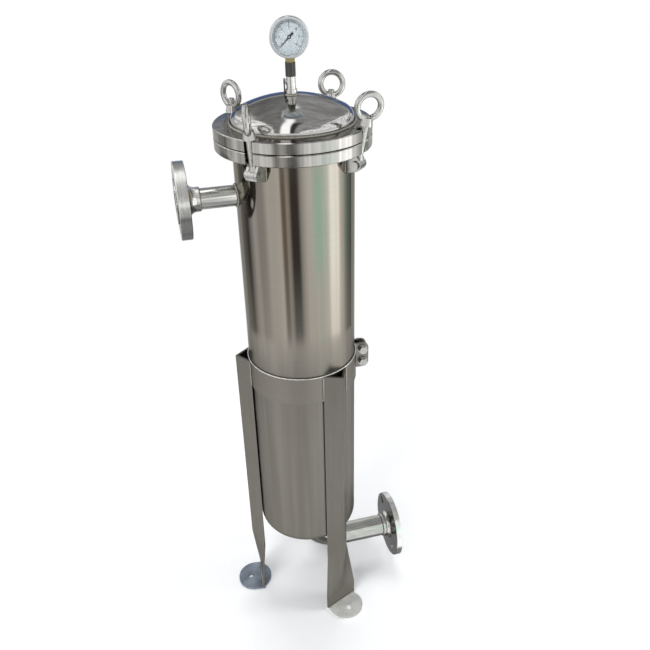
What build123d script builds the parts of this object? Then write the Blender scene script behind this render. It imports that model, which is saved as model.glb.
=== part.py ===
from build123d import *
import math
import os

os.makedirs("parts", exist_ok=True)

# ---- driving sizes, mm -------------------------------------------------
shell_od = 219.1            # DN200 pipe
shell_t = 3.0
fit_gap = 0.3               # radial gap between round pieces that are welded or clamped

band_top = 666.0            # top edge of the clamp band above the floor
head_drop = 432.0           # band top down to where the bottom head begins to curve
neck_rise = 433.5           # band top up to the underside of the body flange
inlet_drop = 84.5           # body flange underside down to the inlet axis
pivot_drop = 19.5           # body flange underside down to the hinge pins
seat_drop = 50.0            # inlet axis down to the basket seat
basket_rise = 32.0          # start of the bottom head up to the basket floor

band_h = 60.0
band_t = 3.0
band_edge = 0.8
band_split = 12.0
ear_t = 5.0
ear_reach = 29.15           # ear beyond the outside of the band
ear_round = 12.0
clamp_d = 10.0
clamp_reach = 16.15         # clamp bolts beyond the outside of the band
clamp_pitch = 30.0
clamp_af = 16.0
clamp_head_h = 6.4
clamp_nut_h = 8.0
clamp_end = 6.0             # thread standing out of the nut
washer_d = 20.0
washer_t = 2.0

head_lip = 8.0              # straight lip of the bottom head
dome_lip = 2.0              # straight lip of the lid dome

flange_over = 60.9          # how much wider than the shell the big flanges are
flange_t = 20.0
flange_edge = 1.5
flange_seat = 8.0           # how deep the shell end sits in the body flange
seal_gap = 1.0              # face to face gap of the two big flanges
lid_step = 13.1             # how much smaller than the shell the lid bore is
seal_over = 3.45            # seal circle outside the shell radius
seal_wire = 2.6
groove_w = 6.2

bolt_inset = 12.0           # swing bolts inside the flange rim
bolt_first = 226.5          # way the first swing bolt looks, degrees
bolt_d = 12.0
slot_w = 16.0
bolt_lean = (6.0, 0.0, 10.0, 11.5)      # outwards from upright, degrees
nut_height = (63.2, 61.7, 64.6, 70.3)   # nut seat above the hinge pin, along the bolt
nut_turn = (-11.5, 33.5, 77.5, 93.5)    # way the flat of each ring looks
bolt_len = 86.0
bolt_end_edge = 1.5
eye_r = 11.0
eye_t = 12.0
pin_d = 10.0
pin_play = 0.05
lug_r = 11.0
lug_t = 5.0
lug_gap = 12.6
lug_tail = 5.0              # how far a lug runs below its hinge eye
clip_d = 15.0
clip_t = 2.0
pin_head_t = 4.0
ring_r = 20.6
ring_wire = 5.2
ring_up = 31.0
boss_d = 24.0
boss_taper = 3.0
boss_h = 13.0

nozzle_reach = 218.0        # nozzle faces from the vessel axis
nozzle_rf_t = 2.0
nozzle_edge = 1.0
nozzle_hole = 19.0
hub_wall = 3.0
pipe_back = 4.0             # pipe end behind the nozzle face
inlet_tube = 38.1
inlet_wall = 1.5
inlet_flange_od = 140.0     # DN40 drilling
inlet_flange_t = 22.0
inlet_rf = 81.0
inlet_pcd = 105.0
inlet_hub = 20.0
inlet_hub_round = 14.0
outlet_tube = 50.8
outlet_wall = 2.0
outlet_flange_od = 155.0    # DN50 drilling
outlet_flange_t = 16.0
outlet_rf = 96.0
outlet_pcd = 120.0
outlet_hub = 16.0
outlet_hub_round = 8.0
outlet_stub = 8.5           # straight pipe between the bottom head and the bend

seat_t = 6.0
seat_w = 12.55
basket_play = 1.0
basket_t = 1.5
basket_rim_t = 4.0
basket_rim_gap = 2.5
window_rows = 5
window_w = 22.0
window_bar = 30.0
basket_blank = 25.0
bag_play = 1.0
bag_t = 1.5
collar_w = 5.0
collar_t = 3.0
collar_gap = 6.5
hold_t = 4.0
hold_gap = 5.5
hold_w = 17.0
hold_wire = 4.0

leg_w = 40.0
leg_t = 4.0
leg_gap = 0.2               # between a leg and the band
leg_first = 173.5           # way the first leg looks, degrees
leg_count = 3
flare_top = 166.0
flare_bottom = 45.0
flat_t = 5.0
foot_t = 6.0
foot_w = 80.0
foot_in = 13.74             # flat of the leg inside its corner
foot_len = 57.0
foot_under = 6.0            # foot plate running in under the leg
foot_hole = 12.0
foot_hole_out = 28.0

gauge_turn = -11.5
case_r = 30.5
case_depth = 24.0
case_back = 10.0
case_wall = 1.2
case_edge = 2.0
bezel_w = 2.2
bezel_lip = 2.6
bezel_h = 3.0
bezel_skirt = 7.0
bezel_edge = 0.9
dial_drop = 8.0
dial_t = 1.0
dial_post = 5.0
glass_t = 2.0
needle_len = 24.0
needle_tail = 9.0
needle_hub = 3.0
needle_t = 0.8
needle_rest = 225.0
needle_axle = 1.2
socket_d = 20.0
socket_bore = 12.0
socket_rise = 9.0           # socket above the top of the dome
cock_d = 16.0
cock_h = 21.0
cock_root = 5.9
spindle_rise = 12.0
spindle_r = 2.5
lever_gap = 2.2             # between the cock and its lever
lever_w = 8.0
lever_len = 26.0
lever_t = 2.5
lever_r = 5.0
sleeve_d = 17.5
sleeve_h = 23.0
sleeve_bore = 8.4
rib_count = 16
rib_r = 0.7
hex_af = 14.0
hex_h = 10.0
stem_r = 4.0

# ---- dependent sizes ---------------------------------------------------
shell_r = shell_od / 2
shell_ri = shell_r - shell_t
head_crown = shell_od
head_knuckle = shell_od / 10
head_tan = band_top - head_drop
body_flange_z = band_top + neck_rise
inlet_z = body_flange_z - inlet_drop
pivot_z = body_flange_z - pivot_drop
seat_z = inlet_z - seat_drop
basket_bottom = head_tan + basket_rise
flange_r = (shell_od + flange_over) / 2
bolt_r = flange_r - bolt_inset
bolt_angles = [bolt_first - 90 * n for n in range(4)]
lid_ri = (shell_od - lid_step) / 2
seal_r = shell_r + seal_over
groove_depth = 2 * seal_wire - seal_gap
flange_top = body_flange_z + flange_t
lid_z = flange_top + seal_gap
lid_top = lid_z + flange_t
dome_tan = lid_top + dome_lip
shell_bottom = head_tan + head_lip
shell_top = body_flange_z + flange_seat
bend_r = 1.5 * outlet_tube
rod_r = bolt_d / 2
pin_r = pin_d / 2
band_ri = shell_r + fit_gap
band_r = band_ri + band_t
band_z = band_top - band_h
band_mid = band_top - band_h / 2
ear_out = band_r + ear_reach
clamp_x = band_r + clamp_reach
leg_side = leg_w * math.sqrt(0.5)
leg_corner = leg_side + math.sqrt((band_r + leg_gap) ** 2 - leg_side ** 2)
foot_edge = leg_corner - foot_in
foot_tip = foot_edge + foot_len
seat_ri = shell_ri - fit_gap - seat_w
seat_top = seat_z + seat_t
basket_r = seat_ri - basket_play
basket_top = seat_top + basket_rim_t
bag_r = basket_r - basket_t - bag_play
bag_floor = basket_bottom + basket_t + bag_play


def crown_height(od, rc, rk):
    r0 = od / 2
    return rc - math.sqrt((rc - rk) ** 2 - (r0 - rk) ** 2)


head_h = crown_height(shell_od, head_crown, head_knuckle)
dome_apex = dome_tan + head_h
outlet_z = head_tan - head_h - outlet_stub - bend_r


def head_solid(od, rc, rk, lip):
    """Solid dished end, tangent line at z = 0, crown up."""
    r0 = od / 2
    h = crown_height(od, rc, rk)
    cz = h - rc
    kx = r0 - rk
    s = rc / (rc - rk)
    tx = kx * s
    tz = cz - cz * s
    a1 = math.atan2(tz, tx - kx) / 2
    mk = (kx + rk * math.cos(a1), rk * math.sin(a1))
    a2 = math.atan2(tx, tz - cz) / 2
    mc = (rc * math.sin(a2), cz + rc * math.cos(a2))
    with BuildPart() as p:
        with BuildSketch(Plane.XZ):
            with BuildLine():
                Polyline((0, h), (0, -lip), (r0, -lip), (r0, 0))
                ThreePointArc((r0, 0), mk, (tx, tz))
                ThreePointArc((tx, tz), mc, (0, h))
            make_face()
        revolve(axis=Axis.Z)
    return p.part


def dished(od, t, rc, rk, lip):
    outer = head_solid(od, rc, rk, lip)
    inner = head_solid(od - 2 * t, rc - t, rk - t, lip + 1)
    return outer - inner


def rod(r, z0, z1):
    c = Cylinder(r, z1 - z0, align=(Align.CENTER, Align.CENTER, Align.MIN))
    return Pos(0, 0, z0) * c


def tube(r, ri, z0, z1):
    """Upright ring between two heights."""
    return rod(r, z0, z1) - rod(ri, z0 - 1, z1 + 1)


def along_x(shape):
    """Turns an upright piece so that its +Z points along +X."""
    return Rot(0, 90, 0) * shape


def rims(shape):
    """The round edges of a piece, lowest first."""
    return shape.edges().filter_by(GeomType.CIRCLE).sort_by(Axis.Z)


def hexagon(af, t):
    with BuildPart() as p:
        with BuildSketch(Plane.XY):
            RegularPolygon(af / 2, 6, major_radius=False)
        extrude(amount=t)
    return p.part


def save(shape, name):
    if isinstance(shape, list):
        shape = Compound(children=list(shape))
    export_step(shape, "parts/" + name + ".step")


# ---- shell and heads -----------------------------------------------------
shell = tube(shell_r, shell_ri, shell_bottom, shell_top)
shell = shell - Pos(0, 0, inlet_z) * along_x(rod(inlet_tube / 2 + fit_gap, -shell_od, 0))
save(shell, "shell")

bottom = dished(shell_od, shell_t, head_crown, head_knuckle, head_lip)
bottom = Pos(0, 0, head_tan) * (Rot(180, 0, 0) * bottom)
bottom = bottom - rod(outlet_tube / 2 + fit_gap, head_tan - head_h - 10, head_tan)
save(bottom, "bottom_head")


# ---- the two big flanges with open slots ----------------------------------
def slots(z0, z1):
    cut = []
    for a in bolt_angles:
        out = Box(flange_r, slot_w, z1 - z0 + 2, align=(Align.MIN, Align.CENTER, Align.MIN))
        end = rod(slot_w / 2, 0, z1 - z0 + 2)
        cut.append(Rot(0, 0, a) * (Pos(bolt_r, 0, z0 - 1) * (out + end)))
    return cut


def disc_flange(z0, z1):
    d = rod(flange_r, z0, z1)
    return chamfer(rims(d), flange_edge)


body_flange = disc_flange(body_flange_z, flange_top)
body_flange = body_flange - rod(shell_ri, body_flange_z - 1, flange_top + 1)
body_flange = body_flange - rod(shell_r + fit_gap, body_flange_z - 1, shell_top)
groove_floor = flange_top - groove_depth
body_flange = body_flange - tube(seal_r + groove_w / 2, seal_r - groove_w / 2, groove_floor, lid_z)
for s in slots(body_flange_z, flange_top):
    body_flange = body_flange - s
save(body_flange, "body_flange")

lid_flange = disc_flange(lid_z, lid_top)
lid_flange = lid_flange - rod(lid_ri, lid_z - 1, lid_top + 1)
for s in slots(lid_z, lid_top):
    lid_flange = lid_flange - s
save(lid_flange, "lid_flange")

seal = Pos(0, 0, groove_floor + seal_wire) * Torus(seal_r, seal_wire)
save(seal, "lid_seal")

dome = Pos(0, 0, dome_tan) * dished(shell_od, shell_t, head_crown, head_knuckle, dome_lip)
dome = dome - rod(socket_d / 2 + fit_gap, dome_apex - 20, dome_apex + 5)
save(dome, "lid_dome")


# ---- nozzles ---------------------------------------------------------------
def nozzle_flange(od, t, rf, pcd, tube_d, hub, hub_round):
    """Flange lying on z = 0 with its raised face up at nozzle_rf_t."""
    back = nozzle_rf_t - t
    hub_r = tube_d / 2 + hub_wall
    f = chamfer(rims(rod(od / 2, back, 0)), nozzle_edge)
    f = f + rod(hub_r, back - hub, back + 1)
    foot_ring = [e for e in rims(f) if abs(e.center().Z - back) < 0.01 and abs(e.radius - hub_r) < 0.01]
    f = fillet(foot_ring, hub_round)
    f = f + rod(rf / 2, -1, nozzle_rf_t)
    f = f - rod(tube_d / 2 + fit_gap, back - hub - 1, nozzle_rf_t + 1)
    for n in range(4):
        a = 45 + 90 * n
        f = f - Rot(0, 0, a) * (Pos(pcd / 2, 0, 0) * rod(nozzle_hole / 2, back - 1, 1))
    return f


face_plane = nozzle_reach - nozzle_rf_t
inlet_end = nozzle_flange(
    inlet_flange_od, inlet_flange_t, inlet_rf, inlet_pcd, inlet_tube, inlet_hub, inlet_hub_round
)
save(Pos(-face_plane, 0, inlet_z) * (Rot(0, -90, 0) * inlet_end), "inlet_flange")
outlet_end = nozzle_flange(
    outlet_flange_od, outlet_flange_t, outlet_rf, outlet_pcd, outlet_tube, outlet_hub, outlet_hub_round
)
save(Pos(face_plane, 0, outlet_z) * (Rot(0, 90, 0) * outlet_end), "outlet_flange")

inlet_ro = inlet_tube / 2
inlet = tube(inlet_ro, inlet_ro - inlet_wall, shell_ri - 1, nozzle_reach - pipe_back)
save(Pos(0, 0, inlet_z) * (Rot(0, -90, 0) * inlet), "inlet_pipe")

ro = outlet_tube / 2
ri = ro - outlet_wall
bend_top = outlet_z + bend_r
with BuildPart() as bend:
    with BuildSketch(Plane.XY):
        Circle(ro)
        Circle(ri, mode=Mode.SUBTRACT)
    revolve(axis=Axis((bend_r, 0, 0), (0, 1, 0)), revolution_arc=-90)
bend_part = bend.part
if bend_part.bounding_box().max.Z > 5:
    bend_part = mirror(bend_part, about=Plane.XY)
outlet = Pos(0, 0, bend_top) * bend_part
outlet = outlet + tube(ro, ri, bend_top, bend_top + outlet_stub + shell_t)
outlet = outlet + Pos(0, 0, outlet_z) * along_x(tube(ro, ri, bend_r, nozzle_reach - pipe_back))
save(outlet, "outlet_bend")

# ---- basket, bag and hold-down inside the shell ----------------------------
save(tube(shell_ri - fit_gap, seat_ri, seat_z, seat_top), "basket_seat")

basket = rod(basket_r, basket_bottom, basket_top)
basket = basket + tube(shell_ri - basket_rim_gap, basket_r - 1, seat_top, basket_top)
basket = basket - rod(basket_r - basket_t, basket_bottom + basket_t, basket_top + 1)
window_step = (seat_z - basket_bottom - 2 * basket_blank) / window_rows
for row in range(window_rows):
    zc = basket_bottom + basket_blank + window_step * (row + 0.5)
    window = Pos(0, 0, zc) * Box(shell_od, window_w, window_step - window_bar)
    for n in range(6):
        basket = basket - Rot(0, 0, 30 * n) * window
save(basket, "basket")

bag_top = basket_top - basket_rim_t
bag = rod(bag_r, bag_floor, bag_top)
bag = bag - rod(bag_r - bag_t, bag_floor + bag_t, bag_top + 1)
save(bag, "filter_bag")

hold_z = basket_top + collar_t
collar = tube(bag_r, bag_r - collar_w, bag_top, hold_z)
collar = collar + tube(shell_ri - collar_gap, bag_r - collar_w, basket_top, hold_z)
save(collar, "bag_collar")

hold_r = shell_ri - hold_gap
arch_r = hold_r - hold_w / 2
arch = Rot(0, 0, 90) * (Rot(90, 0, 0) * Torus(arch_r, hold_wire))
arch = arch & rod(shell_od, 0, shell_od)
hold = tube(hold_r, hold_r - hold_w, hold_z, hold_z + hold_t)
hold = hold + Pos(0, 0, hold_z + hold_t - 1) * arch
save(hold, "hold_down_ring")


# ---- hinge lugs, pins, swing bolts and eye nuts ------------------------------
def place(shape, k):
    return Rot(0, 0, bolt_angles[k]) * (Pos(bolt_r, 0, pivot_z) * shape)


def lug():
    """One lug plate in the radial plane, hinge hole at the origin."""
    inside = shell_r - bolt_r
    pts = [(inside, pivot_drop), (0, pivot_drop), (lug_r, 2), (lug_r, 0), (0, -lug_r), (inside, -lug_r - lug_tail)]
    with BuildPart() as p:
        with BuildSketch(Plane.XZ):
            Polygon(*pts, align=None)
            Circle(lug_r)
            Circle(pin_r + pin_play, mode=Mode.SUBTRACT)
        extrude(amount=lug_t / 2, both=True)
    return p.part - Pos(-bolt_r, 0, 0) * rod(shell_r + fit_gap, -shell_r, shell_r)


lugs = []
pins = []
clips = []
half = lug_gap / 2 + lug_t
for k in range(4):
    for side in (-1, 1):
        lugs.append(place(Pos(0, side * (lug_gap + lug_t) / 2, 0) * lug(), k))
    body = Rot(90, 0, 0) * rod(pin_r, -half - 3, half + 2)
    pin_head = Rot(90, 0, 0) * rod(clip_d / 2, half + 0.5, half + 0.5 + pin_head_t)
    pins.append(place(body + pin_head, k))
    clip = Rot(90, 0, 0) * tube(clip_d / 2, pin_r + pin_play, -half - clip_t, -half)
    clips.append(place(clip, k))
save(lugs, "hinge_lugs")
save(pins, "hinge_pins")
save(clips, "pin_clips")


def swing_bolt():
    """Bolt standing up from its hinge hole at the origin."""
    eye = Rot(90, 0, 0) * rod(eye_r, -eye_t / 2, eye_t / 2)
    stem = rod(rod_r, 2, bolt_len)
    stem = chamfer(rims(stem)[-1:], bolt_end_edge)
    neck = Pos(0, 0, eye_r + 2) * Cone(eye_r * 0.75, rod_r, 8)
    neck = neck & Box(4 * eye_r, eye_t, 8 * eye_r)
    b = eye + stem + neck
    return b - Rot(90, 0, 0) * Cylinder(pin_r + 1.6 * pin_play, 4 * eye_t)


def eye_nut():
    """Lifting eye nut standing on z = 0, ring in the XZ plane."""
    boss = Cone(boss_d / 2, boss_d / 2 - boss_taper, boss_h, align=(Align.CENTER, Align.CENTER, Align.MIN))
    ring = Pos(0, 0, ring_up) * (Rot(90, 0, 0) * Torus(ring_r, ring_wire))
    return boss + ring - rod(rod_r + 2 * pin_play, -1, ring_up)


for k in range(4):
    lean = Rot(0, bolt_lean[k], 0)
    save(place(lean * swing_bolt(), k), "swing_bolt_%d" % (k + 1))
    turn = nut_turn[k] + 90 - bolt_angles[k]
    nut = Pos(0, 0, nut_height[k]) * (Rot(0, 0, turn) * eye_nut())
    save(place(lean * nut, k), "eye_nut_%d" % (k + 1))

# ---- gauge and its cock -------------------------------------------------------
socket_top = dome_apex + socket_rise
cock_top = socket_top + cock_h
sleeve_top = cock_top + sleeve_h
case_bottom = sleeve_top + hex_h
gauge_z = case_bottom + case_r
spindle_z = socket_top + spindle_rise
save(tube(socket_d / 2, socket_bore / 2, dome_apex - 4, socket_top), "gauge_socket")


def turned(shape):
    return Rot(0, 0, gauge_turn) * shape


def sideways(shape):
    """Lays an upright piece along -X at the height of the cock spindle."""
    return Pos(0, 0, spindle_z) * (Rot(0, -90, 0) * shape)


cock_r = cock_d / 2
cock = rod(cock_r, socket_top, cock_top)
cock = cock + rod(cock_root, socket_top - 10, socket_top + 1)
cock = cock + turned(sideways(rod(lever_r, 0, cock_r + 1.5)))
cock = cock + turned(sideways(rod(spindle_r, 0, cock_r + 5)))
save(cock, "gauge_cock")

lever_in = cock_r + lever_gap
blade = Pos(-lever_in - lever_t / 2, 0, spindle_z - lever_w) * Box(lever_t, lever_w, lever_len)
lever = blade + sideways(rod(lever_r, lever_in, lever_in + lever_t))
lever = lever - sideways(rod(spindle_r + pin_play, 0, cock_d))
save(turned(lever), "cock_lever")

sleeve = tube(sleeve_d / 2, sleeve_bore / 2, cock_top, sleeve_top)
for n in range(rib_count):
    rib = Pos(sleeve_d / 2, 0, 0) * rod(rib_r, cock_top - 1, sleeve_top + 1)
    sleeve = sleeve - Rot(0, 0, 360 / rib_count * n) * rib
save(sleeve, "gauge_union_nut")


def facing(shape):
    """Turns a piece that looks up +Z so that it looks out of the dial."""
    return turned(Pos(0, 0, gauge_z) * (Rot(90, 0, 0) * shape))


stem = turned(Pos(0, 0, sleeve_top) * hexagon(hex_af, hex_h + 1)) + rod(stem_r, cock_top + 4, sleeve_top + 1)
stem = stem - facing(rod(case_r + 0.02, -case_r, case_r))
save(stem, "gauge_stem")

front = case_depth - case_back
can = rod(case_r, -case_back, front)
can = chamfer(rims(can)[:1], case_edge)
can = can - rod(case_r - case_wall, case_wall - case_back, case_depth)
save(facing(can), "gauge_case")

dial_z = front - dial_drop
dial = rod(case_r - case_wall - fit_gap, dial_z, dial_z + dial_t)
dial = dial + rod(dial_post, case_wall - case_back, dial_z + 0.5)
dial = dial + rod(needle_axle, dial_z, dial_z + 4)
save(facing(dial), "gauge_dial")

glass_top = front + 0.8
bezel = tube(case_r + bezel_w, case_r + 0.2, front - bezel_skirt, glass_top)
bezel = bezel + tube(case_r + bezel_w, case_r - bezel_lip, glass_top, front + bezel_h)
bezel = chamfer(rims(bezel)[-2:], bezel_edge)
save(facing(bezel), "gauge_bezel")
glass = rod(case_r - case_wall - 0.2, glass_top - glass_t, glass_top)
save(facing(glass), "gauge_glass")

needle_z = dial_z + 1.6
tail = -needle_tail
with BuildPart() as hand:
    with BuildSketch(Plane.XY.offset(needle_z)):
        Polygon((needle_len, 0), (0, 1.1), (tail, 1.8), (tail, -1.8), (0, -1.1), align=None)
        Circle(needle_hub)
    extrude(amount=needle_t)
needle = hand.part - rod(needle_axle + pin_play, dial_z, front)
save(facing(Rot(0, 0, needle_rest) * needle), "gauge_needle")

# ---- clamp band -----------------------------------------------------------------
band = rod(band_r, band_z, band_top)
band = chamfer(rims(band), band_edge)
band = band - rod(band_ri, band_z - 1, band_top + 1)
band = band - Pos(band_r, 0, band_mid) * Box(leg_w, band_split, band_h + 2)
for side in (-1, 1):
    ear = Box(ear_out - band_ri, ear_t, band_h - 2, align=(Align.MIN, Align.CENTER, Align.CENTER))
    ear = fillet(ear.edges().filter_by(Axis.Y).sort_by(Axis.X)[-2:], ear_round)
    ear = Pos(band_ri, side * (band_split + ear_t) / 2, band_mid) * ear
    band = band + (ear - rod(band_ri, band_z, band_top))
clamp_heights = (band_mid - clamp_pitch / 2, band_mid + clamp_pitch / 2)
clamp_r = clamp_d / 2
for z in clamp_heights:
    band = band - Pos(clamp_x, 0, z) * (Rot(90, 0, 0) * Cylinder(clamp_r + 0.5, 2 * ear_out))
save(band, "clamp_band")

ear_face = band_split / 2 + ear_t
nut_face = 2 * (ear_face + washer_t)
bolts = []
nuts = []
washers = []
for z in clamp_heights:
    at = Pos(clamp_x, -ear_face - washer_t, z) * Rot(-90, 0, 0)
    screw = Pos(0, 0, -clamp_head_h) * hexagon(clamp_af, clamp_head_h)
    bolts.append(at * (screw + rod(clamp_r, 0, nut_face + clamp_nut_h + clamp_end)))
    washer = tube(washer_d / 2, clamp_r + fit_gap, 0, washer_t)
    washers.append(at * washer)
    washers.append(at * (Pos(0, 0, nut_face - washer_t) * washer))
    nut = hexagon(clamp_af, clamp_nut_h) - rod(clamp_r + pin_play, -1, clamp_nut_h + 1)
    nuts.append(at * (Pos(0, 0, nut_face) * nut))
save(bolts, "clamp_bolts")
save(nuts, "clamp_nuts")
save(washers, "clamp_washers")


# ---- legs and feet -----------------------------------------------------------------
def angle_section():
    w = leg_side
    t = leg_t * math.sqrt(0.5)
    pts = [(0, 0), (-w, w), (-w - t, w - t), (-2 * t, 0), (-w - t, -w + t), (-w, -w)]
    return [(leg_corner + x, y) for x, y in pts]


def flat_section():
    u = foot_edge
    h = foot_w / 2
    v = foot_edge - flat_t
    return [(u, 0), (u, h), (v, h), (v, 0), (v, -h), (u, -h)]


def section_face(pts, z):
    return Face(Wire.make_polygon([Vector(x, y, z) for x, y in pts], close=True))


def leg():
    top_part = extrude(section_face(angle_section(), flare_top), band_top - flare_top, dir=(0, 0, 1))
    low_part = extrude(section_face(flat_section(), foot_t), flare_bottom - foot_t, dir=(0, 0, 1))
    a = section_face(angle_section(), flare_top)
    b = section_face(flat_section(), flare_bottom)
    middle = Solid.make_loft([b.outer_wire(), a.outer_wire()], True)
    part = top_part + middle + low_part
    return part - rod(band_r + leg_gap, 0, band_top + 1)


def foot():
    tip_r = foot_w / 2
    start = foot_edge - foot_under
    plate = Box(foot_tip - tip_r - start, foot_w, foot_t, align=(Align.MIN, Align.CENTER, Align.MIN))
    f = Pos(start, 0, 0) * plate + Pos(foot_tip - tip_r, 0, 0) * rod(tip_r, 0, foot_t)
    return f - Pos(foot_edge + foot_hole_out, 0, 0) * rod(foot_hole / 2, -1, foot_t + 1)


for n in range(leg_count):
    a = leg_first + 360 / leg_count * n
    save(Rot(0, 0, a) * leg(), "leg_%d" % (n + 1))
    save(Rot(0, 0, a) * foot(), "foot_%d" % (n + 1))
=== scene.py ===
"""Looks of the bag filter housing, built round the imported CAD: view, light, finishes and fine detail."""
import math
import random

import bmesh
import bpy
from mathutils import Matrix, Vector


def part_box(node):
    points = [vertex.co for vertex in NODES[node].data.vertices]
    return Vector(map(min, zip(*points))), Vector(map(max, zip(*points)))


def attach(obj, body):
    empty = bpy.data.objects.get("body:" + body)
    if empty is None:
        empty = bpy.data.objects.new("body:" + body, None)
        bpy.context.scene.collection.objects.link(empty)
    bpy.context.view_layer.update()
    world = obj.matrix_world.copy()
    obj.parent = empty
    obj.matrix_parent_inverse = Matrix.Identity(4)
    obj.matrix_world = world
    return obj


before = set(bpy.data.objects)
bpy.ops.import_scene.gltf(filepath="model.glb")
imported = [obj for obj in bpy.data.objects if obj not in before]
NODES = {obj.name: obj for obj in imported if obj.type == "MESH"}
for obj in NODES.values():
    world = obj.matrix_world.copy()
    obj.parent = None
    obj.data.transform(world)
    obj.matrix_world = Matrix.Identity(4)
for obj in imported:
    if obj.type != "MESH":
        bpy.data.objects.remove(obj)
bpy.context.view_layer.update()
MM = 0.001

# ---- places taken from the frame ----------------------------------------------
BAND_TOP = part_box("clamp_band")[1].z
SHELL_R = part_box("shell")[1].x
FLANGE_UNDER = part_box("body_flange")[0].z
LID_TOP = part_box("lid_flange")[1].z
DOME_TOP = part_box("lid_dome")[1].z
HEAD_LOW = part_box("bottom_head")[0].z

# ---- turns and sizes of the CAD that the fine detail follows ----------------------
BAND_H = 60 * MM
BAND_OVER = 3.3 * MM                    # outside of the band past the shell
STAND_TURN = 173.5                      # azimuth of the first leg, in degrees
FOOT_EDGE = 124 * MM                    # inner edge of a foot from the vessel's axis
FOOT_T = 6 * MM
GAUGE_TURN = -11.5
DIAL_FACE = 7.06 * MM                   # a hair in front of the dial
BOLT_TURN = (226.5, 136.5, 46.5, 316.5)
BOLT_LEAN = (6.0, 0.0, 10.0, 11.5)      # lean of each swing bolt from the upright, in degrees
NUT_SEAT = (63.2 * MM, 61.7 * MM, 64.6 * MM, 70.3 * MM)
NUT_HUB = 13 * MM
BOLT_R = 128 * MM                       # circle of the hinge pins
PIVOT_Z = FLANGE_UNDER - 19.5 * MM
VIEW_TURN = -11.757                     # azimuth that the view and its studio walls are turned by


# ---- camera -------------------------------------------------------------------
def add_camera():
    """Stands in front of the vessel, a little to its left and well above the band."""
    distance, above_band = 1.2679, 0.8047
    pitch, yaw, roll = (math.radians(turn) for turn in (30.536, 2.229, -1.206))
    lens, sensor = 39.88, 36
    ahead = Vector((math.sin(yaw) * math.cos(pitch), math.cos(yaw) * math.cos(pitch), -math.sin(pitch)))
    level = Vector((math.cos(yaw), -math.sin(yaw), 0))
    upright = level.cross(ahead)
    right = level * math.cos(roll) + upright * math.sin(roll)
    up = upright * math.cos(roll) - level * math.sin(roll)
    turn = Matrix((right, up, -ahead)).transposed().to_4x4()
    place = Matrix.Translation((0, -distance, BAND_TOP + above_band))
    data = bpy.data.cameras.new("camera")
    data.lens = lens
    data.sensor_width = sensor
    data.clip_start = 0.05
    data.clip_end = 60
    camera = bpy.data.objects.new("camera", data)
    bpy.context.scene.collection.objects.link(camera)
    camera.matrix_world = Matrix.Rotation(math.radians(VIEW_TURN), 4, "Z") @ place @ turn
    bpy.context.scene.camera = camera


# ---- node helpers ---------------------------------------------------------------
class Tree:
    """Short way to write a node tree: a call adds the nodes for one step and mostly returns their output."""

    def __init__(self, tree):
        self.tree = tree
        tree.nodes.clear()

    def node(self, kind, inputs=(), **props):
        made = self.tree.nodes.new(kind)
        for key, value in props.items():
            setattr(made, key, value)
        for key, value in dict(inputs).items():
            if isinstance(value, bpy.types.NodeSocket):
                self.tree.links.new(value, made.inputs[key])
            else:
                made.inputs[key].default_value = value
        return made

    def math(self, operation, a, b=0.0, clamp=False):
        return self.node("ShaderNodeMath", {0: a, 1: b}, operation=operation, use_clamp=clamp).outputs[0]

    def vector(self, operation, a, b=(0, 0, 0)):
        return self.node("ShaderNodeVectorMath", {0: a, 1: b}, operation=operation).outputs[0]

    def axes(self, vector):
        """The three parts of a vector."""
        return self.node("ShaderNodeSeparateXYZ", {0: vector}).outputs

    def noise(self, vector, scale, detail=3.0, rough=0.55, distortion=0.0):
        inputs = {"Vector": vector, "Scale": scale, "Detail": detail}
        inputs.update({"Roughness": rough, "Distortion": distortion})
        return self.node("ShaderNodeTexNoise", inputs).outputs["Fac"]

    def span(self, value, low, high, to_low=0.0, to_high=1.0, smooth=True):
        """Maps low..high to to_low..to_high, held at both ends."""
        inputs = {"Value": value, "From Min": low, "From Max": high, "To Min": to_low, "To Max": to_high}
        kind = "SMOOTHSTEP" if smooth else "LINEAR"
        return self.node("ShaderNodeMapRange", inputs, interpolation_type=kind).outputs[0]

    def grey(self, level):
        """A number as a colour."""
        return self.node("ShaderNodeCombineColor", {0: level, 1: level, 2: level}).outputs[0]

    def mix(self, share, a, b, blend="MIX"):
        made = self.node("ShaderNodeMix", {0: share, 6: a, 7: b}, data_type="RGBA", blend_type=blend)
        return made.outputs[2]

    def shaded(self, colour, level):
        """A colour multiplied by a number."""
        return self.mix(1.0, colour, self.grey(level), "MULTIPLY")

    def blend(self, share, a, b):
        """Mixes two numbers."""
        return self.node("ShaderNodeMix", {0: share, 2: a, 3: b}, data_type="FLOAT").outputs[0]

    def place(self):
        return self.node("ShaderNodeTexCoord").outputs["Object"]

    def bump(self, height, strength, distance):
        inputs = {"Height": height, "Strength": strength, "Distance": distance}
        return self.node("ShaderNodeBump", inputs).outputs[0]

    def glow(self, colour):
        return self.node("ShaderNodeEmission", {"Color": colour, "Strength": 1.0}).outputs[0]

    def surface(self, shader):
        """Ends a material's tree."""
        self.node("ShaderNodeOutputMaterial", {"Surface": shader})

    def finish(self, **inputs):
        """Ends the tree with a Principled shader."""
        names = {key.replace("_", " "): value for key, value in inputs.items()}
        shader = self.node("ShaderNodeBsdfPrincipled", names)
        self.surface(shader.outputs[0])
        return shader


def rgb(red, green, blue):
    """A colour given as screen values from 0 to 255."""
    linear = [((c / 255 + 0.055) / 1.055) ** 2.4 if c > 10 else c / 255 / 12.92 for c in (red, green, blue)]
    return (*linear, 1.0)


def scaled(colour, factor):
    return tuple(min(1, c * factor) for c in colour[:3]) + (1,)


def new_material(name):
    material = bpy.data.materials.new(name)
    material.use_nodes = True
    return material, Tree(material.node_tree)


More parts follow.
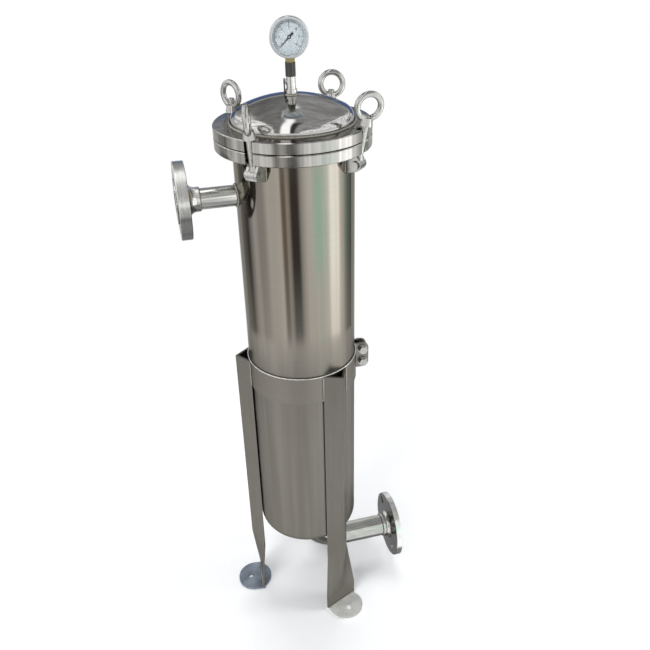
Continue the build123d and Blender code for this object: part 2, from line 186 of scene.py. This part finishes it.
# ---- finishes -------------------------------------------------------------------
def dulled(t, place, base, under_shade, back):
    """Painted shade: darkens the base colour of undersides to the share under, and of faces that look at the
    vessel to the share back, where shade and dark reflections fall.
    """
    normal = t.axes(t.node("ShaderNodeNewGeometry").outputs["Normal"])
    outward = t.math("MULTIPLY", normal[0], t.math("SIGN", t.axes(place)[0]))
    inward = t.math("MULTIPLY", outward, -1.0)
    below = t.span(normal[2], -0.16, 0.0, under_shade, 1.0)
    return t.shaded(base, t.math("MULTIPLY", below, t.span(inward, 0.6, 0.95, 1.0, back)))


def steel(name, colour, rough, grain, depth, mark, cloud, under_shade=1.0, back=1.0):
    """Metal with a grain stretched by three scales, of a bump depth and a colour mark, slow clouds of colour
    and gloss, and fine spots. Under and back are shares of painted shade on undersides and on faces that
    look at the vessel."""
    material, t = new_material(name)
    place = t.place()
    lines = t.noise(t.vector("MULTIPLY", place, grain), 1.0, 4.0, 0.65)
    slow = t.noise(place, 7.0, 3.0, 0.5, 0.4)
    spots = t.noise(place, 60.0, 3.0, 0.6)
    base = t.mix(t.span(lines, 0.3, 0.7), scaled(colour, 1 - mark), scaled(colour, 1 + mark))
    base = t.shaded(base, t.span(slow, 0.3, 0.7, 1 - cloud, 1 + cloud))
    # Painted shade on undersides and on faces turned to the vessel.
    if under_shade < 1 or back < 1:
        base = dulled(t, place, base, under_shade, back)
    gloss = t.math("ADD", t.span(slow, 0.3, 0.7, -0.25 * rough, 0.25 * rough), rough)
    gloss = t.math("ADD", gloss, t.span(spots, 0.5, 0.8, 0, 0.06))
    shader = t.finish(Base_Color=base, Metallic=1.0, Roughness=gloss, Normal=t.bump(lines, depth, 0.0002))
    shader.inputs["Specular Tint"].default_value = (0.5, 0.5, 0.5, 1)
    return material


def shell_finish():
    """Polished above, satin below: rings of polish round the tube, gloss falling off towards the band."""
    material, t = new_material("polished_shell")
    place = t.place()
    high = t.span(t.axes(place)[2], BAND_TOP - 0.02, BAND_TOP + 0.1)
    ring = t.noise(t.vector("MULTIPLY", place, (6, 6, 900)), 1.0, 3.0, 0.6)
    slow = t.noise(place, 6.0, 3.0, 0.5, 0.5)
    upright = t.noise(t.vector("MULTIPLY", place, (46, 46, 1.6)), 1.0, 2.0, 0.5)
    streak = t.span(upright, 0.3, 0.7)
    polished = t.mix(streak, rgb(146, 140, 130), rgb(156, 150, 141))
    satin = t.mix(streak, rgb(126, 122, 114), rgb(136, 132, 125))
    both = t.math("ADD", t.math("MULTIPLY", ring, 0.5), t.math("MULTIPLY", slow, 0.5))
    base = t.shaded(t.mix(high, satin, polished), t.span(both, 0.35, 0.65, 0.97, 1.03))
    rough = t.math("ADD", t.blend(high, 0.4, 0.07), t.span(slow, 0.3, 0.7, -0.02, 0.05))
    shader = t.finish(Base_Color=base, Metallic=1.0, Roughness=rough, Normal=t.bump(ring, 0.012, 0.0002))
    shader.inputs["Specular Tint"].default_value = (0.45, 0.45, 0.45, 1)
    return material


def plain(name, colour, rough, speckle, scale, depth):
    """Paint, rubber, plastic or felt with a slight speckle."""
    material, t = new_material(name)
    grain = t.noise(t.place(), scale, 3.0, 0.6)
    base = t.mix(t.span(grain, 0.35, 0.65), scaled(colour, 1 - speckle), colour)
    t.finish(Base_Color=base, Metallic=0.0, Roughness=rough, Normal=t.bump(grain, depth, 0.0003))
    return material


def glass_finish():
    material, t = new_material("clear_glass")
    smear = t.noise(t.place(), 40.0, 2.0, 0.5)
    rough = t.span(smear, 0.4, 0.8, 0.02, 0.08)
    t.finish(Base_Color=(1, 1, 1, 1), Roughness=rough, Transmission_Weight=1.0, IOR=1.1, Alpha=0.15)
    return material


def make_finishes():
    """Finishes by the name of the node or of the fine detail that wears them."""
    shell = shell_finish()
    # The last numbers of nozzle_flange, polished_tube and outlet_tube are shares of painted shade on
    # undersides and back faces.
    nozzle = steel("nozzle_flange", rgb(234, 234, 230), 0.24, (260, 60, 60), 0.1, 0.1, 0.14, 0.22, 0.27)
    dome = steel("polished_dome", rgb(190, 189, 187), 0.09, (260, 260, 260), 0.01, 0.05, 0.08)
    flange = steel("turned_flange", rgb(180, 178, 173), 0.16, (130, 130, 2), 0.05, 0.2, 0.08)
    bright = steel("bright_fittings", rgb(190, 189, 186), 0.2, (90, 90, 90), 0.2, 0.12, 0.12)
    rim = steel("gauge_rim", rgb(216, 220, 222), 0.3, (200, 200, 200), 0.1, 0.05, 0.05)
    tube = steel("polished_tube", rgb(214, 214, 210), 0.13, (30, 420, 420), 0.04, 0.14, 0.16, 0.45)
    outlet = steel("outlet_tube", rgb(190, 190, 185), 0.16, (30, 420, 420), 0.04, 0.16, 0.16, 0.4)
    satin = steel("satin_band", rgb(132, 128, 120), 0.34, (5, 5, 900), 0.03, 0.04, 0.05)
    leg = steel("satin_leg", rgb(125, 121, 114), 0.36, (300, 300, 6), 0.03, 0.05, 0.08)
    # The feet's colours are painted reflections: near white on foot_2 and foot_3, bluish grey on foot_1 for
    # a blue it mirrors.
    foot = steel("foot_painted_white_reflection", rgb(246, 246, 244), 0.6, (60, 60, 60), 0.3, 0.08, 0.2)
    blue_reflection_foot = steel("foot_painted_blue_reflection", rgb(142, 152, 164), 0.4, (60, 60, 60), 0.3, 0.2, 0.3)
    brass = steel("gauge_brass", rgb(190, 176, 122), 0.22, (200, 200, 900), 0.05, 0.1, 0.1)
    dark = steel("dark_knurl", rgb(92, 92, 90), 0.38, (500, 500, 500), 0.1, 0.2, 0.1)
    black = plain("needle_black", rgb(22, 22, 24), 0.35, 0.2, 600, 0.05)
    return {
        "shell": shell, "bottom_head": shell, "lid_dome": dome,
        "body_flange": flange, "lid_flange": flange,
        "inlet_flange": nozzle, "outlet_flange": nozzle, "inlet_pipe": tube, "outlet_bend": outlet,
        "gauge_socket": tube, "gauge_cock": tube, "gauge_bezel": rim, "gauge_case": rim,
        "cock_lever": dark, "gauge_union_nut": dark, "gauge_stem": brass,
        "gauge_dial": plain("dial_white", rgb(198, 208, 212), 0.4, 0.03, 500, 0.02),
        "gauge_glass": glass_finish(), "gauge_needle": black, "print": black,
        "lid_seal": plain("seal_rubber", rgb(34, 33, 32), 0.6, 0.2, 900, 0.2),
        "filter_bag": plain("bag_felt", rgb(228, 224, 212), 0.9, 0.15, 1800, 0.8),
        "bag_collar": plain("bag_plastic", rgb(214, 214, 208), 0.45, 0.05, 400, 0.05),
        "basket": satin, "basket_seat": satin, "hold_down_ring": satin, "clamp_band": satin,
        "leg_1": leg, "leg_2": leg, "leg_3": leg,
        "foot_1": blue_reflection_foot, "foot_2": foot, "foot_3": foot,
        "weld": steel("ground_weld", rgb(158, 154, 146), 0.24, (300, 300, 300), 0.3, 0.14, 0.2),
        # Brighter than the band's steel: a painted highlight on the band's top edge.
        "lip": steel("band_edge_painted_highlight", rgb(222, 221, 216), 0.3, (200, 200, 200), 0.1, 0.08, 0.1),
        "bright": bright,
    }


def dress():
    """Gives each CAD node its finish. A node that isn't named wears the bright fittings' one."""
    for name, node in NODES.items():
        node.data.materials.clear()
        node.data.materials.append(FINISH.get(name, FINISH["bright"]))


# ---- fine detail ------------------------------------------------------------------
def add_mesh(name, mesh, body, finish):
    """Puts a mesh in the scene as a piece that rides a body."""
    mesh.materials.clear()
    mesh.materials.append(finish)
    piece = bpy.data.objects.new(name, mesh)
    bpy.context.scene.collection.objects.link(piece)
    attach(piece, body)


def add_piece(name, points, faces, body, finish):
    data = bpy.data.meshes.new(name)
    data.from_pydata(points, [], faces)
    data.polygons.foreach_set("use_smooth", [True] * len(data.polygons))
    add_mesh(name, data, body, finish)


def grid_faces(rows, columns, closed_rows, closed_columns=True):
    faces = []
    for a in range(rows if closed_rows else rows - 1):
        for b in range(columns if closed_columns else columns - 1):
            c, d = (a + 1) % rows, (b + 1) % columns
            faces.append((a * columns + b, c * columns + b, c * columns + d, a * columns + d))
    return faces


def bead(name, path, size, body, closed, ripple, finish):
    """A bead with slow ripples. Path gives a point for a share from 0 to 1 of the seam's length."""
    columns = 8
    rough = [Vector(path(k / 96)) for k in range(97)]
    length = sum((b - a).length for a, b in zip(rough, rough[1:]))
    rows = max(8, int(length / ripple) * 4)
    wander = random.Random(name)
    points = []
    for k in range(rows):
        share = k / rows if closed else k / (rows - 1)
        here = Vector(path(share))
        ahead = Vector(path(share + 0.002)) - Vector(path(share - 0.002))
        side = ahead.orthogonal() if abs(ahead.normalized().z) > 0.9 else ahead.cross(Vector((0, 0, 1)))
        side.normalize()
        over = side.cross(ahead).normalized()
        swell = 1 + 0.08 * math.sin(math.tau * k / 4) + wander.uniform(-0.04, 0.04)
        if not closed:
            swell *= min(1.0, 0.35 + 4 * min(share, 1 - share) * length / (8 * size))
        for c in range(columns):
            turn = math.tau * c / columns
            points.append(here + size * swell * (math.cos(turn) * side + math.sin(turn) * over))
    faces = grid_faces(rows, columns, closed)
    if not closed:
        faces.append(tuple(range(columns)))
        faces.append(tuple(reversed(range((rows - 1) * columns, rows * columns))))
    add_piece(name, points, faces, body, finish)


def weld(name, path, size, body, closed=True):
    """A ground weld bead."""
    bead(name, path, size, body, closed, 2.6 * MM, FINISH["weld"])


def circle_path(radius, centre, axis="Z"):
    def path(share):
        c, s = radius * math.cos(math.tau * share), radius * math.sin(math.tau * share)
        offset = Vector((c, s, 0)) if axis == "Z" else Vector((0, c, s))
        return Vector(centre) + offset
    return path


def line_path(start, end):
    return lambda share: Vector(start).lerp(Vector(end), share)


def turned(degrees, point):
    return Matrix.Rotation(math.radians(degrees), 3, "Z") @ Vector(point)


def add_shell_welds():
    weld("weld_flange", circle_path(SHELL_R + 0.3 * MM, (0, 0, FLANGE_UNDER)), 3.6 * MM, "vessel")
    weld("weld_dome", circle_path(SHELL_R + 0.2 * MM, (0, 0, LID_TOP)), 3.4 * MM, "vessel")
    weld("weld_socket", circle_path(10 * MM, (0, 0, DOME_TOP)), 2.4 * MM, "vessel")


def add_nozzle_welds():
    hub_over = 0.8 * MM
    pipe_low, pipe_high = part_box("inlet_pipe")
    pipe_r = (pipe_high.y - pipe_low.y) / 2
    pipe_z = (pipe_high.z + pipe_low.z) / 2

    def saddle(share):
        y, z = pipe_r * math.cos(math.tau * share), pipe_r * math.sin(math.tau * share)
        return Vector((-math.sqrt(SHELL_R ** 2 - y * y), y, pipe_z + z))

    weld("weld_inlet", saddle, 3.0 * MM, "vessel")
    hub = (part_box("inlet_flange")[1].x, 0, pipe_z)
    weld("weld_inlet_hub", circle_path(pipe_r + hub_over, hub, "X"), 2.2 * MM, "vessel")
    bend_low, bend_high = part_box("outlet_bend")
    bend_r = bend_high.y
    hub = (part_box("outlet_flange")[0].x, 0, bend_low.z + bend_r)
    weld("weld_outlet_hub", circle_path(bend_r + hub_over, hub, "X"), 2.2 * MM, "vessel")
    weld("weld_outlet", circle_path(bend_r, (0, 0, HEAD_LOW + 1.4 * MM)), 2.8 * MM, "vessel")


def add_lug_welds():
    """Down both faces of each cheek that carries a hinge pin."""
    cheek, half_cheek = 8.8 * MM, 2.6 * MM
    high, low = FLANGE_UNDER - 3 * MM, PIVOT_Z - 15 * MM
    for k, turn in enumerate(BOLT_TURN):
        for side in (-1, 1):
            for face in (-1, 1):
                y = side * cheek + face * half_cheek
                x = math.sqrt((SHELL_R + 0.3 * MM) ** 2 - y * y)
                name = "weld_lug_%d%s%s" % (k + 1, "ab"[side > 0], "ab"[face > 0])
                path = line_path(turned(turn, (x, y, high)), turned(turn, (x, y, low)))
                weld(name, path, 1.8 * MM, "vessel", False)


def add_stand_welds():
    """Down both edges of each leg, along the inner edge of each foot, and down both ears of the band."""
    leg_x, half_leg = 109.7 * MM, 28.6 * MM
    leg_inset, ear_inset = 1 * MM, 2 * MM
    half_foot = 38 * MM
    for k in range(3):
        turn = STAND_TURN + 120 * k
        for side in (-1, 1):
            top = turned(turn, (leg_x, side * half_leg, BAND_TOP - leg_inset))
            low = turned(turn, (leg_x, side * half_leg, BAND_TOP - BAND_H + leg_inset))
            weld("weld_leg_%d%s" % (k + 1, "ab"[side > 0]), line_path(top, low), 2.0 * MM, "stand", False)
        ends = [turned(turn, (FOOT_EDGE, side * half_foot, FOOT_T)) for side in (-1, 1)]
        weld("weld_foot_%d" % (k + 1), line_path(*ends), 2.6 * MM, "stand", False)
    for side in (-1, 1):
        y = side * 11 * MM
        x = math.sqrt((SHELL_R + BAND_OVER) ** 2 - y * y)
        path = line_path((x, y, BAND_TOP - ear_inset), (x, y, BAND_TOP - BAND_H + ear_inset))
        weld("weld_ear_%s" % "ab"[side > 0], path, 1.8 * MM, "stand", False)


def add_band_lip():
    """A bead along the top edge of the clamp band, open at its split, in brighter steel as a painted
    highlight on that edge.
    """
    gap = math.degrees(8 * MM / SHELL_R)

    def path(share):
        return turned(gap + (360 - 2 * gap) * share, (SHELL_R + 1.9 * MM, 0, BAND_TOP + 0.2 * MM))

    bead("band_lip", path, 1.5 * MM, "stand", False, 12 * MM, FINISH["lip"])


def thread(name, start, axis, radius, pitch, length, body):
    """A run of screw thread that stands a little proud of the plain rod in the CAD."""
    around, per_turn = 22, 6
    rows = int(length / pitch * per_turn)
    axis = Vector(axis).normalized()
    side = axis.orthogonal().normalized()
    over = axis.cross(side)
    points = []
    for k in range(rows):
        along = length * k / (rows - 1)
        taper = min(1.0, 2 * min(along, length - along) / pitch)
        for c in range(around):
            phase = (along / pitch - c / around) % 1.0
            r = radius + taper * 0.42 * pitch * (0.75 - abs(2 * phase - 1)) * 0.5
            turn = math.tau * c / around
            points.append(Vector(start) + along * axis + r * (math.cos(turn) * side + math.sin(turn) * over))
    add_piece(name, points, grid_faces(rows, around, False), body, FINISH["bright"])


def add_bolt_threads():
    """Below and above each eye nut. Where the nut stands at the bolt's end, nothing shows above it."""
    radius, pitch = 6.02 * MM, 1.75 * MM
    first, last = 30 * MM, 84.2 * MM
    clear, shortest = 0.4 * MM, 2 * MM
    for k in range(4):
        lean, turn = math.radians(BOLT_LEAN[k]), BOLT_TURN[k]
        pin = turned(turn, (BOLT_R, 0, PIVOT_Z))
        axis = turned(turn, (math.sin(lean), 0, math.cos(lean)))
        body = "bolt_%d" % (k + 1)
        below = NUT_SEAT[k] - clear - first
        thread("thread_%d_low" % (k + 1), pin + axis * first, axis, radius, pitch, below, body)
        high = NUT_SEAT[k] + NUT_HUB + clear
        if last - high > shortest:
            thread("thread_%d_high" % (k + 1), pin + axis * high, axis, radius, pitch, last - high, body)


def add_clamp_threads():
    """On the two clamp bolts, past their nuts."""
    radius, pitch, half_apart = 5.02 * MM, 1.5 * MM, 15 * MM
    low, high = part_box("clamp_nuts")
    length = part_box("clamp_bolts")[1].y - high.y - 0.8 * MM
    middle = BAND_TOP - BAND_H / 2
    for k, z in enumerate((middle - half_apart, middle + half_apart)):
        start = ((low.x + high.x) / 2, high.y + 0.3 * MM, z)
        thread("clamp_thread_%d" % (k + 1), start, (0, 1, 0), radius, pitch, length, "stand")


# ---- print of the dial --------------------------------------------------------------
SCALE_START, SCALE_SWEEP = 225.0, 270.0
RING_IN, RING_OUT = 24.4 * MM, 24.75 * MM


def dial_place():
    """Matrix that lays a drawing on the face of the dial."""
    low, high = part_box("gauge_bezel")
    centre = Matrix.Translation((0, 0, (low.z + high.z) / 2))
    upright = Matrix.Rotation(math.radians(90), 4, "X")
    return Matrix.Rotation(math.radians(GAUGE_TURN), 4, "Z") @ centre @ upright


def dial_point(radius, degrees, aside=0.0):
    a = math.radians(degrees)
    return (radius * math.cos(a) - aside * math.sin(a), radius * math.sin(a) + aside * math.cos(a))


def add_dial_scale():
    """Ticks in three lengths that stand on a ring line."""
    ticks, arcs = 60, 90
    lay = dial_place()
    points, faces = [], []

    def patch(corners):
        start = len(points)
        points.extend(lay @ Vector((x, y, DIAL_FACE)) for x, y in corners)
        faces.append(tuple(range(start, start + len(corners))))

    for k in range(ticks + 1):
        turn = SCALE_START - SCALE_SWEEP / ticks * k
        inner, half = (20.2, 0.34) if k % 10 == 0 else (21.6, 0.24) if k % 5 == 0 else (22.6, 0.13)
        inner, half = inner * MM, half * MM
        outline = ((inner, -half), (RING_IN, -half), (RING_IN, half), (inner, half))
        patch([dial_point(radius, turn, aside) for radius, aside in outline])
    for k in range(arcs):
        a, b = SCALE_START - SCALE_SWEEP / arcs * k, SCALE_START - SCALE_SWEEP / arcs * (k + 1)
        outline = ((RING_IN, a), (RING_IN, b), (RING_OUT, b), (RING_OUT, a))
        patch([dial_point(radius, turn) for radius, turn in outline])
    add_piece("dial_scale", points, faces, "vessel", FINISH["print"])


def number_mesh(number):
    """A figure as a thin mesh round its middle."""
    text = bpy.data.curves.new("number", "FONT")
    text.body = str(number)
    text.size = 6.2 * MM
    text.align_x = text.align_y = "CENTER"
    text.extrude = 0.02 * MM
    holder = bpy.data.objects.new("number", text)
    bpy.context.scene.collection.objects.link(holder)
    bpy.context.view_layer.update()
    mesh = bpy.data.meshes.new_from_object(holder.evaluated_get(bpy.context.evaluated_depsgraph_get()))
    bpy.data.objects.remove(holder)
    return mesh


def add_dial_numbers():
    highest, radius = 6, 16.4 * MM
    lay = dial_place()
    for k in range(highest + 1):
        mesh = number_mesh(k)
        x, y = dial_point(radius, SCALE_START - SCALE_SWEEP / highest * k)
        mesh.transform(lay @ Matrix.Translation((x, y, DIAL_FACE)))
        add_mesh("dial_number_%d" % k, mesh, "vessel", FINISH["print"])


# ---- stage ----------------------------------------------------------------------
def see_background(t):
    """1 for the rays that see the plain white background: camera, glossy and transmission rays."""
    path = t.node("ShaderNodeLightPath")
    seen = t.math("ADD", path.outputs["Is Camera Ray"], path.outputs["Is Glossy Ray"])
    return t.math("ADD", seen, path.outputs["Is Transmission Ray"], clamp=True)


def add_world():
    world = bpy.data.worlds.new("studio")
    bpy.context.scene.world = world
    world.use_nodes = True
    t = Tree(world.node_tree)
    soft = t.node("ShaderNodeBackground", {"Color": (0.94, 0.97, 1.0, 1), "Strength": 0.62}).outputs[0]
    white = t.node("ShaderNodeBackground", {"Color": (1, 1, 1, 1), "Strength": 1.0}).outputs[0]
    both = t.node("ShaderNodeMixShader", {0: see_background(t), 1: soft, 2: white}).outputs[0]
    t.node("ShaderNodeOutputWorld", {"Surface": both})


def add_floor():
    """Pale floor that keeps the shadow near the feet and runs into the white background."""
    mesh = bmesh.new()
    bmesh.ops.create_circle(mesh, cap_ends=True, cap_tris=True, segments=96, radius=4.0)
    data = bpy.data.meshes.new("floor")
    mesh.to_mesh(data)
    mesh.free()
    floor = bpy.data.objects.new("floor", data)
    bpy.context.scene.collection.objects.link(floor)
    material, t = new_material("floor_white")
    place = t.place()
    grain = t.noise(place, 30.0, 3.0, 0.6)
    base = t.mix(grain, (0.95, 0.95, 0.95, 1), (0.99, 0.99, 0.99, 1))
    matt = t.node("ShaderNodeBsdfDiffuse", {"Color": base}).outputs[0]
    away = t.node("ShaderNodeVectorMath", {0: place}, operation="LENGTH").outputs["Value"]
    share = t.math("MULTIPLY", t.span(away, 0.45, 1.5), see_background(t))
    t.surface(t.node("ShaderNodeMixShader", {0: share, 1: matt, 2: t.glow((1, 1, 1, 1))}).outputs[0])
    data.materials.append(material)


def add_light(name, place, target, size, power):
    """A soft lamp that mirror-like surfaces don't show."""
    data = bpy.data.lights.new(name, "AREA")
    data.shape = "RECTANGLE"
    data.size, data.size_y = size
    data.energy = power
    light = bpy.data.objects.new(name, data)
    bpy.context.scene.collection.objects.link(light)
    light.location = place
    light.rotation_mode = "QUATERNION"
    light.rotation_quaternion = (Vector(target) - Vector(place)).to_track_quat("-Z", "Y")
    light.visible_glossy = False


def upright_wall(radius, low, high):
    """Standing cylinder, as a function of the azimuth and the share of its height."""
    def point(azimuth, share):
        return (radius * math.cos(azimuth), radius * math.sin(azimuth), low + (high - low) * share)
    return point


def round_roof(radius, lowest):
    """Part of a sphere above an elevation in degrees, as a function of the azimuth and share of the rise."""
    def point(azimuth, share):
        rise = math.radians(lowest + (90 - lowest) * share)
        level = radius * math.cos(rise)
        return (level * math.cos(azimuth), level * math.sin(azimuth), radius * math.sin(rise))
    return point


def add_wall(name, form, azimuths, steps, material, centre_z=0.0):
    """Puts up a studio wall that only mirror-like surfaces see, turned with the view."""
    start, end = azimuths
    rows = 24
    points = []
    for k in range(steps + 1):
        azimuth = math.radians(start + (end - start) * k / steps)
        points += [form(azimuth, n / rows) for n in range(rows + 1)]
    data = bpy.data.meshes.new(name)
    data.from_pydata(points, [], grid_faces(steps + 1, rows + 1, False, False))
    data.materials.append(material)
    wall = bpy.data.objects.new(name, data)
    bpy.context.scene.collection.objects.link(wall)
    wall.location = (0, 0, centre_z)
    wall.rotation_euler = (0, 0, math.radians(VIEW_TURN))
    wall.visible_camera = wall.visible_diffuse = wall.visible_shadow = False
    wall.visible_transmission = wall.visible_volume_scatter = False


def fill_ramp(ramp, stops, brightest):
    """Writes stops of degrees and colour to a ramp from -180 to 180 degrees, in shares of the brightest."""
    bar = ramp.color_ramp
    bar.interpolation = "LINEAR"
    while len(bar.elements) < len(stops):
        bar.elements.new(0.5)
    # The bar sorts its stops by place, so all places are set before the colours.
    for element, (degrees, colour) in zip(bar.elements, stops):
        element.position = (degrees + 180) / 360
    for element, (degrees, colour) in zip(bar.elements, stops):
        element.color = (*(c / brightest for c in colour), 1)


def surround_finish():
    """Flags and screens round the vessel, by the degrees from the camera's side, + to the camera's right."""
    brightest = 2.5
    white = (1, 1, 1, 1)
    stops = (
        (-150, (1.0, 1.0, 1.0)), (-118, (0.3, 0.3, 0.3)), (-106, (0.08, 0.08, 0.08)),
        (-96, (0.5, 0.5, 0.5)), (-86, (0.85, 0.85, 0.85)), (-74, (0.55, 0.55, 0.55)),
        (-64, (0.62, 0.62, 0.6)), (-52, (1.0, 1.0, 1.0)), (-36, (1.12, 1.1, 1.1)),
        (-29, (1.1, 1.06, 1.04)), (-26, (0.3, 0.25, 0.2)), (-20, (0.3, 0.25, 0.2)),
        (-17, (0.75, 0.68, 0.62)), (-13, (0.6, 0.55, 0.5)), (-9, (0.09, 0.08, 0.08)),
        (3, (0.09, 0.08, 0.08)), (9, (0.7, 0.7, 0.7)), (20, (1.25, 1.25, 1.25)),
        (30, (1.1, 1.2, 1.15)), (38, (0.85, 1.32, 1.15)), (48, (0.95, 1.28, 1.16)),
        (60, (1.35, 1.48, 1.42)), (67, (2.3, 2.4, 2.4)), (84, (2.3, 2.35, 2.35)),
        (90, (1.35, 1.25, 1.25)), (98, (0.98, 1.12, 1.06)), (110, (0.4, 0.52, 0.46)),
        (128, (0.25, 0.27, 0.3)), (150, (0.9, 0.9, 0.92)),
    )
    material, t = new_material("surround")
    x, y, z = t.axes(t.place())
    turn = t.math("ARCTAN2", x, t.math("MULTIPLY", y, -1.0))
    ramp = t.node("ShaderNodeValToRGB", {0: t.span(turn, -math.pi, math.pi, 0.0, 1.0, False)})
    fill_ramp(ramp, stops, brightest)
    pattern = t.vector("MULTIPLY", ramp.outputs[0], (brightest, brightest, brightest))
    tint = t.math("MULTIPLY", t.span(z, 0.22, 0.4, 0.2, 1.0), t.span(z, 0.66, 0.72, 1.0, 0.12))
    colour = t.mix(tint, t.node("ShaderNodeRGBToBW", {0: pattern}).outputs[0], pattern)
    keep = t.math("MULTIPLY", t.span(z, 0.02, 0.4, 0.8, 1.0), t.span(z, 0.69, 0.73, 1.0, 0.88))
    colour = t.mix(keep, white, colour)
    t.surface(t.glow(t.mix(t.span(z, 0.95, 1.15), colour, white)))
    return material


def ceiling_finish():
    """What the dome mirrors: a dull roof, a bright strip with a dark edge, pale sides and a streaky back."""
    material, t = new_material("ceiling")
    place = t.vector("NORMALIZE", t.place())
    x, y, z = t.axes(place)
    streaks = t.noise(t.vector("MULTIPLY", place, (2.0, 9.0, 2.0)), 1.6, 4.0, 0.6, 0.6)
    patches = t.noise(place, 5.0, 4.0, 0.6, 0.8)
    rows = t.noise(t.vector("MULTIPLY", place, (3.0, 3.0, 22.0)), 1.0, 4.0, 0.6, 0.5)
    specks = t.noise(place, 14.0, 4.0, 0.65, 0.5)

    def line(across_x, across_y, offset):
        along = t.math("ADD", t.math("MULTIPLY", x, across_x), t.math("MULTIPLY", y, across_y))
        return t.math("ADD", along, offset)

    def both(a, b):
        return t.math("MULTIPLY", a, b)

    dull = t.span(t.math("ADD", both(streaks, 0.5), both(patches, 0.5)), 0.35, 0.65, 0.26, 0.56)
    level = both(dull, t.span(x, -0.15, 0.15, 0.7, 1.15))

    off = line(1.0, -0.155, 0.09)
    half = t.span(y, -0.9, 0.6, 0.14, 0.04, False)
    beyond = t.math("SUBTRACT", off, half)
    shadow = both(t.span(beyond, 0.1, 0.2, 1.0, 0.0), t.span(beyond, -0.02, 0.02))
    level = t.blend(both(shadow, t.span(y, 0.0, 0.45, 1.0, 0.0)), level, 0.05)
    strip = t.span(t.math("SUBTRACT", t.math("ABSOLUTE", off), half), -0.03, 0.03, 1.0, 0.0)
    level = t.blend(both(strip, t.span(y, 0.66, 0.78, 1.0, 0.0)), level, 1.9)

    edge = t.math("MINIMUM", t.math("MINIMUM", line(0.0, 1.29, 1.42), 0.68), line(0.0, -0.31, 0.77))
    right_side = t.span(t.math("SUBTRACT", x, edge), -0.01, 0.03)
    level = t.blend(right_side, level, t.span(specks, 0.35, 0.65, 0.6, 1.8))
    left_side = t.span(line(-1.0, 0.1, -0.43), -0.01, 0.05)
    level = t.blend(left_side, level, t.span(patches, 0.35, 0.65, 0.6, 1.6))

    low_back = both(t.span(z, 0.2, 0.34, 1.0, 0.0), t.span(y, 0.2, 0.5))
    level = t.blend(low_back, level, t.span(rows, 0.4, 0.6, 0.12, 1.5))
    low_front = both(t.span(z, 0.12, 0.2, 1.0, 0.0), t.span(y, -0.2, 0.2, 1.0, 0.0))
    t.surface(t.glow(t.grey(t.blend(low_front, level, 1.0))))
    return material


def blue_finish():
    material, t = new_material("blue_wall")
    t.surface(t.glow((0.17, 0.27, 0.55, 1)))
    return material


def add_stage():
    wall_top = 1.15
    add_world()
    add_floor()
    add_light("key", (-1.6, -1.7, 2.6), (0, 0, 0.8), (1.2, 1.2), 38)
    add_light("fill", (2.2, -0.6, 1.6), (0, 0, 0.7), (0.7, 1.8), 22)
    add_light("top", (0.2, 1.2, 2.7), (0, 0, 1.0), (1.6, 0.8), 26)
    add_wall("surround", upright_wall(1.3, 0.0, wall_top), (-220, 40), 130, surround_finish())
    add_wall("ceiling", round_roof(2.2, 2.0), (-180, 180), 96, ceiling_finish(), wall_top)
    add_wall("blue_wall", upright_wall(0.6, 1.14, 1.285), (48, 132), 24, blue_finish())


bpy.context.scene.view_settings.view_transform = "Standard"
add_camera()
add_stage()
FINISH = make_finishes()
dress()
add_shell_welds()
add_nozzle_welds()
add_lug_welds()
add_stand_welds()
add_band_lip()
add_bolt_threads()
add_clamp_threads()
add_dial_scale()
add_dial_numbers()
